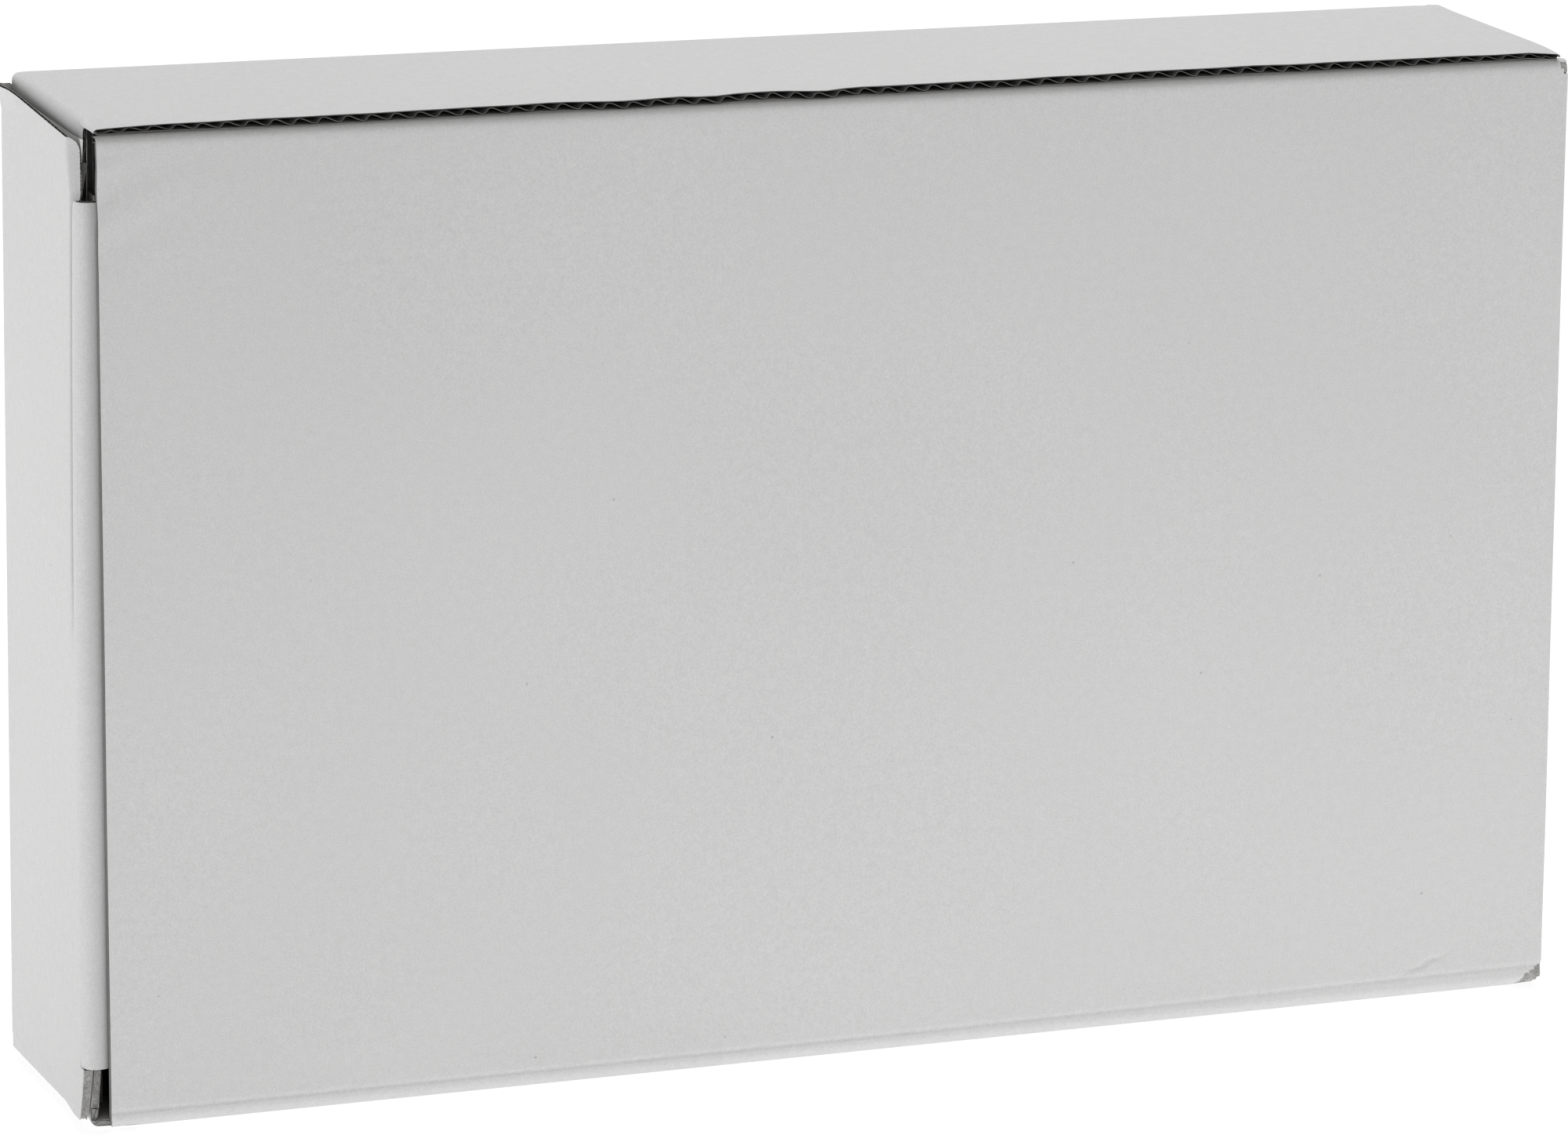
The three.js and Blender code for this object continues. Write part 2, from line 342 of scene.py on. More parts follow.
def board(name, surface, towards, s, t, flutes, keep=full, squeeze=even, span=None, phase=0.0,
          finishes=("outer", "inner"), flute_rows=None, crushed=(), torn=None, slack=1.0,
          dark_sides=CUT_EDGES, pressed_from=0.5):
    """A stretch of corrugated board under its outer face, as one object.

    towards points from the outer face to the inner. s and t are the grid's places.
    flutes is the direction that the wave runs in, "s" or "t".
    keep says which places are there, and torn where the outer liner is torn off.
    squeeze is the share of the full thickness left, and pressed_from the depth it draws towards.
    span gives the ends of t for each s, where the outline isn't a rectangle.
    flute_rows are the medium's places along the flutes, if not the liners'.
    crushed lists the stretches (s from, s to, t from, t to) where the board is pressed shut.
    slack is the share of its full height that the medium's wave keeps.
    dark_sides are the sides on which the liners' cut edges are as dark as the medium.
    """
    def grid(s_places, t_places):
        share = (t_places - t_places[0]) / (t_places[-1] - t_places[0])
        s_grid = np.repeat(s_places[:, None], len(t_places), 1)
        if span is None:
            return s_grid, np.repeat(t_places[None, :], len(s_places), 0)
        first, last = span(s_places)
        return s_grid, first[:, None] + share[None, :] * (last - first)[:, None]

    def at(s_grid, t_grid, depth):
        """Points at a depth, 0 on the outer face and 1 on the inner."""
        normal = inward_normals(surface, s_grid, t_grid, towards)
        reach = BOARD * (pressed_from + (depth - pressed_from) * squeeze(s_grid, t_grid))
        return surface(s_grid, t_grid) + normal * reach[..., None]

    def cells(s_grid, t_grid, test=keep):
        """The cells whose middles pass the test."""
        return test(*((g[:-1, :-1] + g[1:, :-1] + g[1:, 1:] + g[:-1, 1:]) / 4
                      for g in (s_grid, t_grid)))

    layers = []
    s_grid, t_grid = grid(s, t)
    liner = LINER / BOARD
    for number, near, far in ((OUTER, 0, liner), (INNER, 1 - liner, 1)):
        there = cells(s_grid, t_grid)
        if torn and number == OUTER:
            there = there & ~cells(s_grid, t_grid, torn)
        layers.append((*shell(at(s_grid, t_grid, near), at(s_grid, t_grid, far), there), number))

    wave_step = FLUTE_PITCH / FLUTE_STEPS
    if flutes == "s":
        s_places = steps(s[0], s[-1], wave_step)
        t_places = flute_rows if flute_rows is not None else t
    else:
        s_places = flute_rows if flute_rows is not None else s
        t_places = steps(t[0], t[-1], wave_step)
    s_grid, t_grid = grid(s_places, t_places)
    turn = 2 * math.pi * ((s_grid if flutes == "s" else t_grid) / FLUTE_PITCH + phase)
    swing = slack * (BOARD - 2 * LINER - MEDIUM) / BOARD / 2
    lean = FLUTE_LEAN * np.sin(turn)
    s_wave = s_grid + lean if flutes == "s" else s_grid
    t_wave = t_grid + lean if flutes == "t" else t_grid
    s_wave = np.clip(s_wave, s[0], s[-1])
    centre = 0.5 + swing * np.sin(turn)
    half = MEDIUM / BOARD / 2 * (1 + 0.7 * np.abs(np.cos(turn)))
    layers.append((*shell(at(s_wave, t_wave, centre - half), at(s_wave, t_wave, centre + half),
                          cells(s_grid, t_grid)), FLUTED))
    for s_low, s_high, t_low, t_high in crushed:
        s_grid, t_grid = np.meshgrid(steps(s_low, s_high, CRUSH_STEP),
                                     steps(t_low, t_high, CRUSH_STEP), indexing="ij")
        rough = 0.04 * ripple(s_grid, t_grid, 4, 3.0)
        layers.append((*shell(at(s_grid, t_grid, 0.06 + rough), at(s_grid, t_grid, 0.94 + rough),
                              cells(s_grid, t_grid)), CRUSHED))
    looks = [MATERIALS[finish] for finish in (*finishes, "medium", "crushed")]
    return make_object(name, layers, looks, dark_sides)


# ---------------------------------------------------------------- materials

def paper(name, tone, mottle, speck, grain, painted_shade_heights=None):
    """Uncoated paper: cloudy mottling, fine fibres, sparse dark specks and a slightly rough face.

    tone is its linear colour. mottle, speck and grain are shares of it. The last argument gives two
    heights in millimetres between which painted shade darkens the paper's colour, darkest at and
    below the lower one: it stands in for the shade deep in a narrow groove.
    """
    material = bpy.data.materials.new(name)
    material.use_nodes = True
    nodes, links = material.node_tree.nodes, material.node_tree.links
    shader = nodes["Principled BSDF"]
    shader.inputs["Roughness"].default_value = 0.9
    shader.inputs["Specular IOR Level"].default_value = 0.25
    place = nodes.new("ShaderNodeTexCoord")

    def noise(scale, detail):
        texture = nodes.new("ShaderNodeTexNoise")
        texture.inputs["Scale"].default_value = scale
        texture.inputs["Detail"].default_value = detail
        links.new(place.outputs["Object"], texture.inputs["Vector"])
        return texture.outputs["Fac"]

    def ramp(value, low, high, from_low=0.3, from_high=0.7):
        node = nodes.new("ShaderNodeMapRange")
        node.inputs["From Min"].default_value = from_low
        node.inputs["From Max"].default_value = from_high
        node.inputs["To Min"].default_value = low
        node.inputs["To Max"].default_value = high
        links.new(value, node.inputs["Value"])
        return node.outputs["Result"]

    def times(first, second):
        node = nodes.new("ShaderNodeMath")
        node.operation = "MULTIPLY"
        for socket, value in zip(node.inputs, (first, second)):
            links.new(value, socket)
        return node.outputs["Value"]

    # The textures' scales are in repeats per metre.
    clouds = ramp(noise(9, 2), 1 - 0.5 * mottle, 1 + 0.5 * mottle)
    flecks = ramp(noise(420, 4), 1 - mottle, 1 + mottle)
    fibres = ramp(noise(2100, 2), 1 - grain, 1 + grain)
    dots = nodes.new("ShaderNodeTexVoronoi")
    dots.inputs["Scale"].default_value = 62
    links.new(place.outputs["Object"], dots.inputs["Vector"])
    spots = ramp(dots.outputs["Distance"], 1 - speck, 1, 0.012, 0.03)
    light = times(times(clouds, flecks), times(fibres, spots))
    if painted_shade_heights:
        # Painted shade: the colour darkens towards the lower height, as shade deep in a groove
        # would. The height is taken from a plane that rises to the back, as the twisted box's left
        # does.
        height = nodes.new("ShaderNodeVectorMath")
        height.operation = "DOT_PRODUCT"
        height.inputs[1].default_value = (0, -0.025, 1)
        links.new(place.outputs["Object"], height.inputs[0])
        dark_from, dark_to = (level * MM for level in painted_shade_heights)
        light = times(light, ramp(height.outputs["Value"], 0.3, 1, dark_from, dark_to))
    colour = nodes.new("ShaderNodeVectorMath")
    colour.operation = "SCALE"
    colour.inputs[0].default_value = tone
    links.new(light, colour.inputs["Scale"])
    links.new(colour.outputs["Vector"], shader.inputs["Base Color"])

    bump = nodes.new("ShaderNodeBump")
    bump.inputs["Strength"].default_value = 0.35
    bump.inputs["Distance"].default_value = 0.00006
    links.new(noise(900, 4), bump.inputs["Height"])
    links.new(bump.outputs["Normal"], shader.inputs["Normal"])
    return material


WHITE = (0.65, 0.65, 0.648)
MATERIALS = {
    "outer": paper("white_outer_liner", WHITE, 0.022, 0.3, 0.06),
    # The white liner with shade painted into its colour low down, standing in for the shade in the
    # groove by the front left corner fold.
    "painted_groove_shade": paper("white_liner_painted_groove_shade", WHITE, 0.022, 0.3, 0.06,
                     (HEIGHT - 4.2, HEIGHT + 0.4)),
    "inner": paper("grey_inner_liner", (0.47, 0.462, 0.45), 0.04, 0.35, 0.06),
    "medium": paper("fluted_medium", (0.14, 0.139, 0.136), 0.08, 0.3, 0.15),
    "crushed": paper("crushed_edge", (0.36, 0.356, 0.348), 0.2, 0.4, 0.3),
}


# ---------------------------------------------------------------- pieces

def raw_edge(distance, left=0.74, reach=5.0):
    """Share of the thickness left near a die-cut edge, which the cutting has crushed."""
    return 1 - (1 - left) * np.exp(-np.clip(distance, 0, None) / (reach / 2))


def finish_piece(piece, node, body):
    """Put the piece in its node's place. A fold that is blended across a joint rides no body."""
    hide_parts(node)
    if body:
        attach(piece, body)


def front_sag(point):
    """How the front wall's free edge sinks at its ends and in dents between them."""
    x, y, z = np.moveaxis(point, -1, 0)
    near_edge = smooth((LID_FACE + 14 - y) / 14) * smooth((z - HEIGHT + ROLL_FOLD) / ROLL_FOLD)
    ends = 0.3 * smooth((-x - 190) / 12) + 0.6 * smooth((x - 192) / 10)
    dents = 0.5 * np.exp(-((x + 62) / 9) ** 2) + 0.45 * np.exp(-((x + 40) / 5) ** 2)
    dents = dents + 0.55 * np.exp(-((x + 8) / 6) ** 2) + 0.25 * ripple(x, y, 3, 55)
    return -(near_edge * (ends + dents))[..., None] * Z


def front_edge(y, x):
    """The front wall's thickness towards its free edge, pressed flatter at its ends."""
    left = 0.96 - 0.34 * smooth((np.abs(x) - 150) / 52)
    return 1 - (1 - left) * np.exp(-np.clip(y - LID_FACE, 0, None) / 2.5)


def make_front_wall():
    inside = FLAP_OUTER - ROLL_FOLD - MARGIN
    surface = warped(flat((0, 0, HEIGHT), X, Y), lambda point, s, t: front_sag(point))
    piece = board("front_wall_board", surface, -Z, steps(-inside, inside, 5),
                  edge_steps(LID_FACE, FLOOR_FOLD - MARGIN, 8), "s",
                  squeeze=lambda s, t: front_edge(t, s), phase=0.2, slack=0.75, dark_sides=(LOW_T,),
                  flute_rows=steps(LID_FACE, FLOOR_FOLD - MARGIN, 9, LID_FACE + 2))
    finish_piece(piece, "front_wall", "base")


def make_back_wall():
    inside = FLAP_OUTER - ROLL_FOLD - MARGIN
    front, back = LID_FOLD + MARGIN, FLOOR_FOLD - MARGIN
    piece = board("back_wall_board", flat((0, 0, 0), X, Y), Z,
                  steps(-inside, inside, 12), steps(front, back, 10), "s",
                  flute_rows=steps(front, back, 20))
    finish_piece(piece, "back_wall", "base")


def tab_ends(half):
    """The ends of the two locking tabs, or of their slots, each half as long as half says."""
    return [HEIGHT / 2 + row * TAB_FROM_MIDDLE + end * half for row in (-1, 1) for end in (-1, 1)]


def in_tab(t, half):
    return np.abs(np.abs(t - HEIGHT / 2) - TAB_FROM_MIDDLE) < half


def make_floor_panel():
    edge = SIDE_FOLD - MARGIN
    wall_low, wall_high = INNER_LOW[0] - SLOT_GAP, INNER_HIGH[0] + SLOT_GAP
    slot_half = TAB_HALF + SLOT_GAP
    slot_ends = tab_ends(slot_half)

    def there(s, t):
        across = (np.abs(s) > wall_low) & (np.abs(s) < wall_high)
        return ~(across & in_tab(t, slot_half))

    piece = board("floor_panel_board", flat((0, FLOOR_FACE, 0), X, Z), -Y,
                  steps(-edge, edge, 8, -wall_high, -wall_low, wall_low, wall_high),
                  steps(FOLD + MARGIN, TOP_FOLD - MARGIN, 8, *slot_ends), "s", there,
                  flute_rows=steps(FOLD + MARGIN, TOP_FOLD - MARGIN, 30, *slot_ends))
    finish_piece(piece, "floor_panel", "base")


def fold_squeeze(length, left=0.86):
    """A fold's board is thinner in the middle of the turn."""
    return lambda s, t: 1 - (1 - left) * np.sin(math.pi * np.clip(s / length, 0, 1)) ** 2


def fold_steps(length, number=12):
    return np.concatenate([[-MARGIN], np.linspace(0, length, number + 1), [length + MARGIN]])


def make_fold(name, node, centre, first, last, along, reach, flutes, move=None):
    surface, length = bend(centre, first, last, along)
    if move:
        surface = warped(surface, move)
    towards = -(np.array(first) + np.array(last))
    piece = board(name, surface, towards, fold_steps(length), edge_steps(*reach, 8), flutes,
                  squeeze=lambda s, t: fold_squeeze(length)(s, t) * raw_edge(reach[1] - t, 0.6, 3),
                  dark_sides=())
    finish_piece(piece, node, "base")


def flare(point, side):
    """The upper end of the floor panel's fold to a side wall stands off, most at the left."""
    x, y, z = np.moveaxis(point, -1, 0)
    reach = 2.4 if side < 0 else 0.6
    reach = reach * smooth((z - HEIGHT + 9) / 8) * smooth((y - FLOOR_FACE + 14) / 12)
    return (side * reach * smooth((side * x - HALF_WIDTH + 5) / 3))[..., None] * X


def bulge(point, side):
    """The side walls stand a little outwards between their ends, and below the rolled edge."""
    x, y, z = np.moveaxis(point, -1, 0)
    outer = smooth((side * x - HALF_WIDTH + 8) / 6) * smooth((FLOOR_FOLD - y) / 30)
    middle = 0.8 * np.sin(math.pi * np.clip(z / HEIGHT, 0, 1))
    corner = 1.2 * smooth((STRIP_LOW[2] - z) / STRIP_LOW[2]) * smooth((-y - 15) / 15)
    forward = np.clip((FLOOR_FOLD - y) / (FLOOR_FOLD - STRIP_FOLD), 0, 1)
    slope = 2.4 * smooth((z - HEIGHT + 30) / 28) * forward
    outwards = (side * outer * (middle + corner))[..., None] * X
    return outwards - slope[..., None] * Z + flare(point, side)


def make_floor_folds():
    inside = FLAP_OUTER - ROLL_FOLD
    make_fold("floor_front_fold", "floor_front_crease", (0, FLOOR_FOLD, TOP_FOLD), Y, Z, X,
              (-inside, inside), "t")
    make_fold("floor_back_fold", "floor_back_crease", (0, FLOOR_FOLD, FOLD), Y, -Z, X,
              (-inside, inside), "t")
    side_low, _ = node_box("floor_right_crease")
    for name, side in SIDES:
        make_fold(f"floor_{name}_fold", f"floor_{name}_crease",
                  (side * SIDE_FOLD, FLOOR_FOLD, 0), Y, side * X, Z,
                  (side_low[2], SIDE_HIGH[2] - 0.5), "s",
                  move=lambda point, s, t, side=side: flare(point, side))


def roll(side, way):
    """The fold from the front wall (way 1) or back wall (way -1) to a corner flap.

    It is tight at both ends, and broader between them at the left than at the right. s is the
    distance round it, and t is y.
    """
    length = ROLL_FOLD * math.pi / 2
    start = np.array((side * (FLAP_OUTER - ROLL_FOLD), 0, HEIGHT if way > 0 else 0))

    def surface(s, t):
        from_ends = smooth((t - LID_FACE - 4) / 12) * smooth((FLAP_HIGH[1] - t) / 10)
        broad = ROLL_FOLD if side < 0 else RIGHT_ROLL_FOLD
        radius = ROLL_FOLD_AT_ENDS + (broad - ROLL_FOLD_AT_ENDS) * from_ends
        straight = ROLL_FOLD - radius
        travel = s * (2 * straight + radius * math.pi / 2) / length
        angle = np.clip((travel - straight) / radius, 0, math.pi / 2)
        across = np.minimum(travel, straight) + radius * np.sin(angle)
        past_turn = np.maximum(travel - straight - radius * math.pi / 2, 0)
        down = radius * (1 - np.cos(angle)) + past_turn
        return start + across[..., None] * side * X - down[..., None] * way * Z + t[..., None] * Y

    return surface, length


def make_corner_flaps():
    for side_name, side in SIDES:
        for end_name, way, root, tip in (("front", 1, HEIGHT - ROLL_FOLD, FLAP_LOW[2]),
                                         ("back", -1, ROLL_FOLD, BACK_FLAP_HIGH[2])):
            make_corner_flap(side_name, side, end_name, way, root, tip)


def make_corner_flap(side_name, side, end_name, way, root, tip):
    """A corner flap and its fold. The fold's first part is as deep as the wall it comes from."""
    if way > 0:
        near, step_back, pressed, slack = LID_FACE, FLAP_LOW[1] + FLAP_SET_BACK, 0.45, 0.35
    else:
        near, step_back, pressed, slack = LID_FOLD + 0.6, FLAP_LOW[1] - 1.2, 0.8, 1.0
    surface, length = roll(side, way)
    wall_part = 0.62 * length
    thinner_from = 0.6 * length

    def there(s, t):
        return (s < wall_part) | (t > step_back)

    def moved(point, s, t):
        return front_sag(point) if way > 0 else bulge(point, side)

    def fold_thickness(s, t):
        free = front_edge(t, HALF_WIDTH) if way > 0 else raw_edge(t - near, 0.8)
        flap = raw_edge(t - step_back, pressed)
        return fold_squeeze(length)(s, t) * np.where(s < thinner_from, free, flap)

    crushed = [(0, length, near + CRUSH_FROM, near + CRUSH_TO),
               (thinner_from, length, step_back + CRUSH_FROM, step_back + CRUSH_TO)]
    piece = board(f"{end_name}_{side_name}_flap_fold", warped(surface, moved), -way * Z - side * X,
                  np.sort(np.append(fold_steps(length, 16), wall_part)),
                  edge_steps(near, FLAP_HIGH[1], 6, step_back), "s", there, fold_thickness,
                  flute_rows=edge_steps(near, FLAP_HIGH[1], 8, step_back),
                  # The front left flap fold's outer face takes the white liner with painted groove
                  # shade.
                  finishes=("painted_groove_shade" if way > 0 > side else "outer", "inner"), slack=0.75,
                  crushed=crushed if way < 0 else (), dark_sides=(LOW_T,))
    finish_piece(piece, f"{end_name}_{side_name}_flap_crease", "base")

    reach = abs(root - tip)

    def span(s):
        inset = FLAP_TAPER * s / reach
        return step_back + inset, FLAP_HIGH[1] - inset

    surface = flat((side * FLAP_OUTER, 0, root), -way * Z, Y)
    crushed = [(MARGIN, 14, step_back + CRUSH_FROM, step_back + CRUSH_TO)]
    piece = board(f"{end_name}_{side_name}_corner_flap_board",
                  surface if way > 0 else warped(surface, moved), -side * X,
                  steps(MARGIN, reach, 8), edge_steps(step_back, FLAP_HIGH[1], 10), "s",
                  span=span, squeeze=lambda s, t: raw_edge(t - step_back, pressed),
                  crushed=crushed if way < 0 else (), slack=slack, dark_sides=())
    finish_piece(piece, f"{end_name}_{side_name}_corner_flap", "base")


def make_side_walls():
    for name, side in SIDES:
        make_outer_wall(name, side)
        make_rolled_edge(name, side)
        make_inner_wall(name, side)


def make_outer_wall(name, side):
    """A side's outer wall. s runs from the floor's fold forward, and t is z.

    Above the rolled edge the wall ends in a lip, creased inwards. Below it the wall is straight.
    """
    low, high = SIDE_LOW[2], SIDE_HIGH[2]
    strip_low, strip_high = STRIP_LOW[2], STRIP_HIGH[2]
    depth = FLOOR_FOLD - STRIP_FOLD
    end = depth + STRAIGHT_END
    base = np.array((side * HALF_WIDTH, FLOOR_FOLD, 0))
    folded_in = -math.sin(LIP_TURN) * side * X - math.cos(LIP_TURN) * Y

    def near_strip(t):
        """1 at the rolled edge's upper end, 0 at the wall's upper edge."""
        return 1 - smooth((t - strip_high) / (high - strip_high))

    def crease(t):
        return depth - LIP_CREASE + 3.6 * near_strip(t)

    def wall(s, t):
        lip = np.where(t > HEIGHT / 2, 0.3 * np.logaddexp(0, (s - crease(t)) / 0.3), 0)
        straight = s - lip
        return base - straight[..., None] * Y + lip[..., None] * folded_in + t[..., None] * Z

    def there(s, t):
        lip_end = crease(t) + LIP_WIDTH - 0.8 * near_strip(t)
        corner_s, corner_t = s - (lip_end - LIP_CORNER), t - (high - LIP_CORNER)
        rounded = (corner_s > 0) & (corner_t > 0) & (np.hypot(corner_s, corner_t) > LIP_CORNER)
        above = (t > strip_high) & (s < lip_end) & ~rounded
        return (s < depth - MARGIN) & (t <= strip_high) | above | (t < strip_low)

    def thick(s, t):
        in_lip = (t > HEIGHT / 2) & (t > strip_high - 1)
        left = np.where(in_lip, 1 - 0.5 * smooth((s - crease(t) + 0.6) / 1.2), 1)
        front = raw_edge(np.where(t < strip_low, end - s, 1e3), 0.94, 2)
        return raw_edge(high - t, 0.4, 3) * raw_edge(t - low, 0.8) * front * left

    lip_columns = [depth - LIP_CREASE + 0.22 * x for x in range(-4, 34)]
    end_columns = [end - 0.6 * x for x in range(1, 7)]
    lip_rows = [high - 0.2 * x for x in range(1, 20)]
    lip_rows += list(np.arange(strip_high + 0.5, high - 4, 0.5))
    piece = board(f"{name}_outer_wall_board",
                  warped(wall, lambda point, s, t: bulge(point, side)), -side * X,
                  steps(MARGIN, end, 7, depth - MARGIN, *lip_columns, *end_columns),
                  edge_steps(low, high, 8, strip_low, strip_high, *lip_rows), "s", there, thick,
                  flute_rows=edge_steps(low, high, 12, strip_low, strip_high),
                  crushed=[(end - CRUSH_TO, end - CRUSH_FROM, low + 0.3, strip_low - 0.3)],
                  dark_sides=(), pressed_from=0)
    finish_piece(piece, f"{name}_outer_wall", "base")


def make_rolled_edge(name, side):
    """The rolled edge of a side wall: a fold, a narrow strip and a second fold, as one path."""
    low, high = STRIP_LOW[2], STRIP_HIGH[2]
    first, first_length = bend((side * SIDE_FOLD, STRIP_FOLD, 0), side * X, -Y, Z)
    second, second_length = bend((side * STRIP_INNER_FOLD, STRIP_FOLD, 0), -Y, -side * X, Z)
    gap = SIDE_FOLD - STRIP_INNER_FOLD
    total = first_length + gap + second_length

    def rolled(s, t):
        over_gap = np.maximum(s - first_length, 0)[..., None] * (-side * X)
        first_part = first(np.minimum(s, first_length), t) + over_gap
        second_part = second(s - first_length - gap, t)
        return np.where((s < first_length + gap / 2)[..., None], first_part, second_part)

    places = np.concatenate([[-MARGIN], np.linspace(0, first_length, 11),
                             np.linspace(first_length + gap, total, 11), [total + MARGIN]])
    piece = board(f"{name}_rollover_board", warped(rolled, lambda point, s, t: bulge(point, side)),
                  Y, places, edge_steps(low, high, 8), "s",
                  squeeze=lambda s, t: raw_edge(np.minimum(high - t, t - low), 0.8, 3),
                  flute_rows=edge_steps(low, high, 20),
                  crushed=[(0, total, low + CRUSH_FROM, low + CRUSH_TO)])
    finish_piece(piece, f"{name}_rollover_strip", "base")


def make_inner_wall(name, side):
    """A side's inner wall with its two tabs, set back where the rolled edge doesn't cover it."""
    low, high = INNER_LOW[2], INNER_HIGH[2]
    strip_low, strip_high = STRIP_LOW[2], STRIP_HIGH[2]
    wall_edge, set_back = FLOOR_LOW[1] - SLOT_GAP, STRIP_FOLD + INNER_SET_BACK
    breaks = (*tab_ends(TAB_HALF), strip_low, strip_high)

    def there(s, t):
        within = (t > strip_low) & (t < strip_high) | (s > set_back)
        return within & ((s < wall_edge) | in_tab(t, TAB_HALF))

    piece = board(f"{name}_inner_wall_board", flat((side * INNER_LOW[0], 0, 0), Y, Z), side * X,
                  steps(STRIP_FOLD + MARGIN, INNER_HIGH[1], 8, wall_edge, set_back),
                  steps(low, high, 8, *breaks), "s", there,
                  flute_rows=steps(low, high, 20, *breaks))
    finish_piece(piece, f"{name}_inner_wall", "base")


LID_LEFT, LID_RIGHT = LID_LOW[0], LID_HIGH[0]


def lid_skew(point, s=None, t=None):
    """The lid lies aslant: it is further right at the bottom and further left at the top."""
    return (LID_SKEW * (1 - 2 * point[..., 2] / HEIGHT))[..., None] * X


def lid_edge(x, z):
    """The lid's thickness towards its two cut edges, thinnest at the upper left corner."""
    near_left = raw_edge(x - LID_LEFT, 0.8)
    near_left = near_left - 0.25 * np.exp(-(x - LID_LEFT) / 2) * smooth((z - HEIGHT + 36) / 20)
    return np.minimum(near_left, raw_edge(LID_RIGHT - x, 0.8))


def make_lid_panel():
    bottom, top = FOLD + MARGIN, TUCK_FOLD - MARGIN
    nick_s, nick_t = 171, 9.5

    def face(point, s, t):
        """Unevenness, the crease's score line, faint wrinkles at the upper left, and a nick."""
        wear = 0.25 * ripple(s, t, 7, 60) * smooth((14 - (t - bottom)) / 10)
        flatness = 0.35 * ripple(s, t, 2, 240)
        score = 0.22 * np.exp(-((t - bottom - 0.9 - 1.3 * smooth(s / LID_RIGHT)) / 0.7) ** 2)
        crumple = np.exp(-((s - LID_LEFT) / 16) ** 2 - ((t - top + 14) / 14) ** 2)
        wrinkles = 0.35 * crumple * np.sin((0.9 * (t - top) - 0.45 * (s - LID_LEFT)) / 2.2)
        near_fold = smooth((t - bottom) / 12) * smooth((top - t) / 12)
        along = (s - nick_s) * 0.93 + (t - nick_t) * 0.37
        off = (t - nick_t) * 0.93 - (s - nick_s) * 0.37
        nick = 0.45 * np.exp(-(along / 6) ** 2 - ((off - 0.3 * np.sin(along)) / 0.7) ** 2)
        moved = (wear + flatness) * near_fold + score * smooth((t - bottom) / 0.8) + nick
        return (moved + wrinkles * smooth((top - t) / 3))[..., None] * Y + lid_skew(point)

    def scuffed(s, t):
        return LID_RIGHT - s < 4.2 - 1.4 * (t - bottom) + 0.5 * ripple(s, t, 9, 4)

    wrinkled_rows = np.arange(top - 50, top, 2.5)
    rows = [*np.arange(bottom + 0.3, bottom + 4, 0.3), *np.arange(8, 15, 0.4), *wrinkled_rows]
    piece = board("lid_panel_board", warped(flat((0, LID_FACE, 0), X, Z), face), Y,
                  edge_steps(LID_LEFT, LID_RIGHT, 4, *np.arange(163, 180, 0.8)),
                  edge_steps(bottom, top, 4, *rows), "s", squeeze=lid_edge,
                  flute_rows=steps(bottom, top, 16, *np.arange(bottom + 0.5, 15, 0.7),
                                   *wrinkled_rows),
                  slack=0.8, torn=scuffed, dark_sides=(LOW_S, HIGH_S),
                  crushed=[(LID_RIGHT - 6, LID_RIGHT - 0.2, bottom, bottom + 4)])
    finish_piece(piece, "lid_panel", "lid")


def make_lid_hinge():
    """The lid's fold to the back wall, cut away round its ends."""
    surface, length = bend((0, LID_FOLD, FOLD), -Z, -Y, X)
    thin = fold_squeeze(length)

    def there(s, t):
        height = np.clip(FOLD * (1 - np.cos(np.clip(s / FOLD, 0, math.pi / 2))), 0, HINGE_CUT)
        inset = HINGE_CUT - np.sqrt(HINGE_CUT ** 2 - (HINGE_CUT - height) ** 2)
        return (t < LID_RIGHT - inset) & (t > LID_LEFT + 0.25 * inset)

    def worn(s, t):
        edge = 0.8 * ripple(s, t, 6, 5)
        at_right = t > LID_RIGHT - 8.5 + edge + 3.5 * s / length
        return at_right | (np.abs(t - LID_LEFT - 4.5) < 3 + edge) & (s < 0.4 * length)

    left_end = [LID_LEFT + 0.25 * x for x in range(1, 34)]
    right_end = [LID_RIGHT - 0.25 * x for x in range(1, 40)]
    crushed = [(0, length, LID_LEFT + 0.5, LID_LEFT + 9),
               (0, length + MARGIN, LID_RIGHT - 10, LID_RIGHT - 0.1)]
    hinge = board("lid_hinge_fold", warped(surface, lid_skew), Z + Y, fold_steps(length, 18),
                  edge_steps(LID_LEFT, LID_RIGHT, 8, *left_end, *right_end), "t", there,
                  lambda s, t: thin(s, t) * lid_edge(t, 0), torn=worn,
                  dark_sides=(LOW_T, HIGH_T), crushed=crushed)
    finish_piece(hinge, "lid_hinge_crease", None)
    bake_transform(hinge)


def make_tuck_fold(flap_way):
    """The lid's fold to the tuck flap. flap_way points out of the flap's outer face."""
    surface, length = tight_bend((0, LID_FOLD, TUCK_FOLD), -Y, flap_way, X, TUCK_FOLD_RADIUS)
    thin = fold_squeeze(length, 0.74)

    def torn(s, t):
        return (LID_RIGHT - t < 1.8 + 0.6 * ripple(s, t, 9, 4)) & (s < 0.5 * length)

    tuck = board("tuck_fold", warped(surface, lid_skew), Y - flap_way, fold_steps(length),
                 edge_steps(LID_LEFT, LID_RIGHT, 8), "t",
                 squeeze=lambda s, t: thin(s, t) * lid_edge(t, HEIGHT), torn=torn,
                 dark_sides=(LOW_T, HIGH_T),
                 crushed=[(0, 0.5 * length, LID_RIGHT - 3, LID_RIGHT - 0.2)])
    finish_piece(tuck, "tuck_crease", None)
    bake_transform(tuck)


def tuck_slant():
    """The tuck flap's slope, from where its fold ends and where its tip is lowest."""
    slope = 0.0
    for _ in range(30):
        tip = TUCK_FOLD + (FOLD - BOARD) * math.cos(slope) - TUCK_LENGTH * math.sin(slope)
        slope += (tip - TUCK_LOW[2]) / TUCK_LENGTH
    return slope


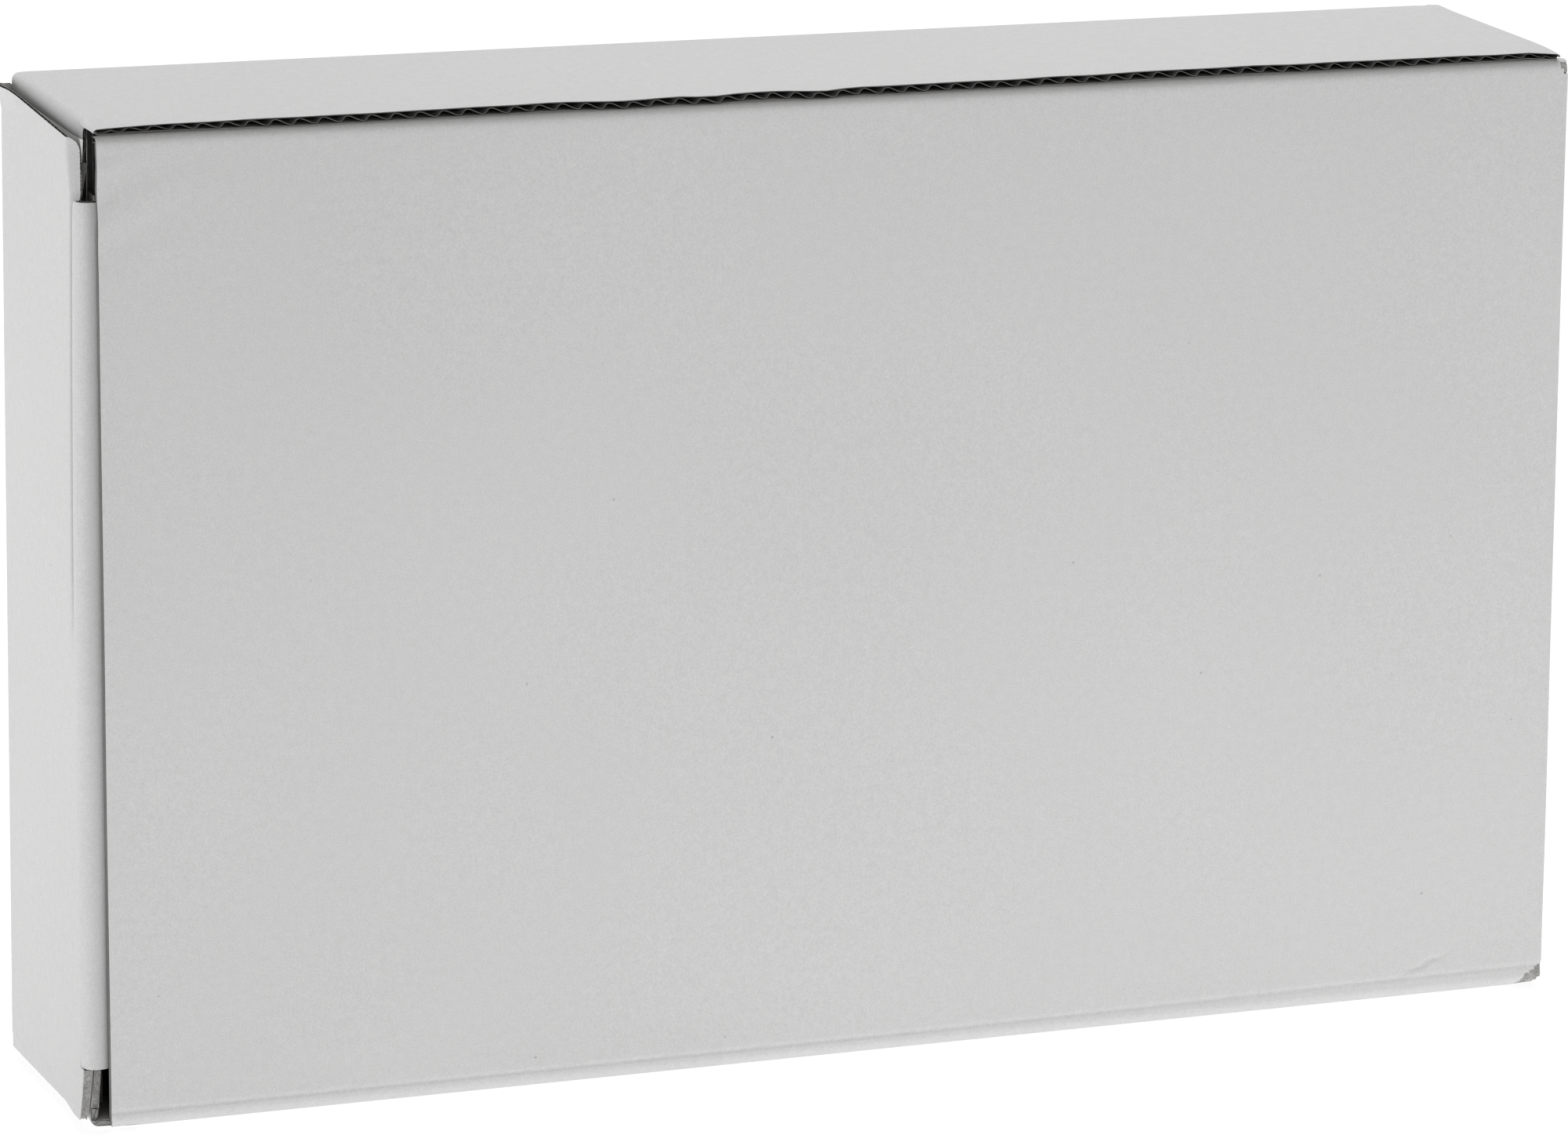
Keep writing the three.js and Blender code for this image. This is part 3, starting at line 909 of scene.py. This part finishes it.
def make_tuck_flap(slant, flap_way):
    half = TUCK_HIGH[0]
    along = np.array((0, math.cos(slant), -math.sin(slant)))
    root = np.array((0, LID_FOLD, TUCK_FOLD)) + FOLD * flap_way

    def span(s):
        """The flap's outline: tapered ends with rounded corners."""
        from_end = half - np.abs(s)
        straight = np.clip(from_end / TUCK_TAPER, 0, 1) * (TUCK_LENGTH - TUCK_CORNER)
        inset = np.clip((TUCK_CORNER - (from_end - TUCK_TAPER)) / TUCK_CORNER, 0, 1)
        rounded = TUCK_CORNER * np.sqrt(np.clip(1 - inset ** 2, 0, 1)) * (from_end > TUCK_TAPER)
        return np.zeros_like(s), np.maximum(straight + rounded, 0.5)

    turns = [math.radians(a) for a in range(0, 100, 10)]
    ends = [half - TUCK_TAPER - TUCK_CORNER * (1 - math.cos(turn)) for turn in turns]
    ends += [half - TUCK_TAPER * x for x in (0.25, 0.5, 0.75)] + [half - TUCK_TAPER - 0.02]
    piece = board("tuck_flap_board", flat(root, X, along), -flap_way,
                  steps(-half, half, 8, *ends, *(-x for x in ends)), edge_steps(0, TUCK_LENGTH, 6),
                  "s", span=span, flute_rows=edge_steps(0, TUCK_LENGTH, 12))
    finish_piece(piece, "tuck_flap", "tuck_flap")


def make_lid():
    slant = tuck_slant()
    flap_way = np.array((0, math.sin(slant), math.cos(slant)))
    make_lid_panel()
    make_lid_hinge()
    make_tuck_fold(flap_way)
    make_tuck_flap(slant, flap_way)


# ---------------------------------------------------------------- studio

def make_floor():
    """A plain pale floor, just below the box, that glows enough to have no horizon."""
    mesh = bpy.data.meshes.new("studio_floor")
    half, level = 30.0, -0.0006
    corners = [(x * half, y * half, level) for x, y in ((-1, -1), (1, -1), (1, 1), (-1, 1))]
    mesh.from_pydata(corners, [], [(0, 1, 2, 3)])
    material = bpy.data.materials.new("studio_floor")
    material.use_nodes = True
    shader = material.node_tree.nodes["Principled BSDF"]
    shader.inputs["Base Color"].default_value = (0.2, 0.2, 0.2, 1)
    shader.inputs["Emission Color"].default_value = (1, 1, 1, 1)
    shader.inputs["Emission Strength"].default_value = 0.89
    shader.inputs["Roughness"].default_value = 1.0
    shader.inputs["Specular IOR Level"].default_value = 0.0
    mesh.materials.append(material)
    floor = bpy.data.objects.new("studio_floor", mesh)
    bpy.context.scene.collection.objects.link(floor)


def area_light(name, place, target, width, height, watts):
    """A rectangular light at a place, aimed at a target. Lengths are in metres."""
    light = bpy.data.lights.new(name, "AREA")
    light.shape = "RECTANGLE"
    light.size, light.size_y = width, height
    light.energy = watts
    made = bpy.data.objects.new(name, light)
    made.location = place
    made.rotation_euler = (Vector(target) - Vector(place)).to_track_quat("-Z", "Y").to_euler()
    bpy.context.scene.collection.objects.link(made)


def make_lights():
    world = bpy.data.worlds.new("studio")
    world.use_nodes = True
    background = world.node_tree.nodes["Background"]
    background.inputs["Color"].default_value = (1, 1, 1, 1)
    background.inputs["Strength"].default_value = 0.35
    bpy.context.scene.world = world
    area_light("left_softbox", (-0.75, 0.1, 0.16), (0, 0.1, 0.13), 0.3, 0.3, 1.1)
    area_light("top_softbox", (0.2, 0.5, 2.2), (0, 0, 0.13), 1.6, 1.6, 31)
    area_light("low_strip", (0.16, -0.5, 0.03), (0.14, -0.04, -0.24), 1.0, 0.06, 1.0)


def make_camera():
    """The photograph's viewing angle. Yaw is from +Y towards +X, and lengths are in metres."""
    place = (-0.71639, -1.83124, 0.59483)
    camera = bpy.data.cameras.new("camera")
    camera.sensor_width = 36
    camera.lens = 174.4
    made = bpy.data.objects.new("camera", camera)
    yaw, pitch, roll = (math.radians(a) for a in (21.29, -13.47, 0.72))
    ahead = Vector((math.sin(yaw) * math.cos(pitch), math.cos(yaw) * math.cos(pitch),
                    math.sin(pitch)))
    level = Vector((math.cos(yaw), -math.sin(yaw), 0))
    up = level.cross(ahead)
    right = math.cos(roll) * level + math.sin(roll) * up
    up = math.cos(roll) * up - math.sin(roll) * level
    made.matrix_world = Matrix((
        (right.x, up.x, -ahead.x, place[0]),
        (right.y, up.y, -ahead.y, place[1]),
        (right.z, up.z, -ahead.z, place[2]),
        (0, 0, 0, 1)))
    bpy.context.scene.collection.objects.link(made)
    bpy.context.scene.camera = made


bpy.context.scene.view_settings.view_transform = "Standard"
make_camera()
make_lights()
make_floor()
make_front_wall()
make_back_wall()
make_floor_panel()
make_floor_folds()
make_corner_flaps()
make_side_walls()
make_lid()
